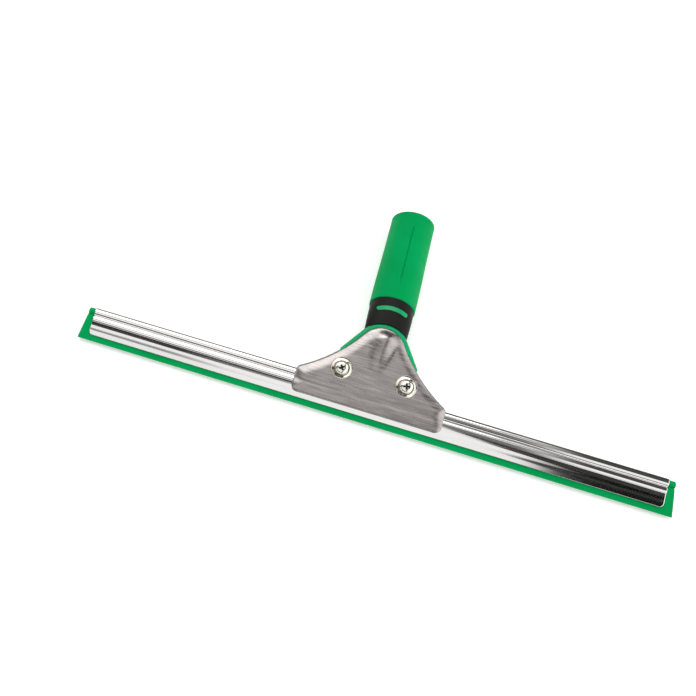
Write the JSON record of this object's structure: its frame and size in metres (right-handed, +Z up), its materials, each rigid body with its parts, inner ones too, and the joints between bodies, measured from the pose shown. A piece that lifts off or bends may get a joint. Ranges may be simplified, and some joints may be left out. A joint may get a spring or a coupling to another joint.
{
  "type": "window cleaning squeegee",
  "caption": "Hand squeegee for windows: green rubber blade in a polished steel channel, held by a two-plate screw clamp on a bent oval grip with a pole socket.",
  "frame": {"origin": "centre of the bounding box's bottom, under the lying tool; it lies on the clamp's back edge and the handle's end, screws up", "axes": "+X along the blade, +Y from the blade's edge towards the handle's end, +Z up"},
  "size_m": [0.4656, 0.194, 0.0405],
  "materials": {
    "grip_green": "soft satin grip rubber",
    "core_green": "moulded green plastic",
    "collar_black": "black soft-touch rubber",
    "plate_steel": "brushed stainless steel",
    "channel_steel": "polished stainless steel",
    "blade_green": "green blade rubber",
    "pad_black": "black rubber liner",
    "screw_steel": "bright steel screw",
    "hidden_steel": "plain zinc-plated steel",
    "clip_plastic": "black moulded plastic"
  },
  "bodies": {
    "handle_and_clamp": {"grip_sleeve": "grip_green", "neck_collar": "collar_black", "collar_inlay": "core_green", "handle_core": "core_green", "front_clamp_plate": "plate_steel", "back_clamp_plate": "plate_steel", "front_jaw_pad": "pad_black", "back_jaw_pad": "pad_black", "captive_nut_left": "hidden_steel", "captive_nut_right": "hidden_steel", "core_rivet_upper": "hidden_steel", "core_rivet_lower": "hidden_steel"},
    "blade_channel": {"channel": "channel_steel"},
    "blade_rubber": {"rubber_blade": "blade_green", "end_clip_left": "clip_plastic", "end_clip_right": "clip_plastic"},
    "washer_left": {"lock_washer_left": "hidden_steel"},
    "screw_left": {"clamp_screw_left": "screw_steel"},
    "washer_right": {"lock_washer_right": "hidden_steel"},
    "screw_right": {"clamp_screw_right": "screw_steel"}
  },
  "joints": [
    {"name": "channel_slide", "type": "slide", "parent": "handle_and_clamp", "child": "blade_channel", "axis": [1, 0, 0], "range_m": [-0.12, 0.12]},
    {"name": "rubber_slide", "type": "slide", "parent": "blade_channel", "child": "blade_rubber", "axis": [1, 0, 0], "range_m": [-0.0035, 0.0035]},
    {"name": "screw_left_lift", "type": "slide", "parent": "handle_and_clamp", "child": "washer_left", "axis": [0, -0.3584, 0.9336], "range_m": [0, 0.002]},
    {"name": "screw_left_turn", "type": "hinge", "parent": "washer_left", "child": "screw_left", "pos_m": [-0.0252, -0.06564, 0.02223], "axis": [0, -0.3584, 0.9336], "range_deg": [0, 901]},
    {"name": "screw_right_lift", "type": "slide", "parent": "handle_and_clamp", "child": "washer_right", "axis": [0, -0.3584, 0.9336], "range_m": [0, 0.002]},
    {"name": "screw_right_turn", "type": "hinge", "parent": "washer_right", "child": "screw_right", "pos_m": [0.0252, -0.06564, 0.02223], "axis": [0, -0.3584, 0.9336], "range_deg": [0, 901]}
  ],
  "couplings": [
    {"joint": "screw_left_turn", "follows": "screw_left_lift", "rad_per_m": 7854},
    {"joint": "screw_right_turn", "follows": "screw_right_lift", "rad_per_m": 7854}
  ]
}
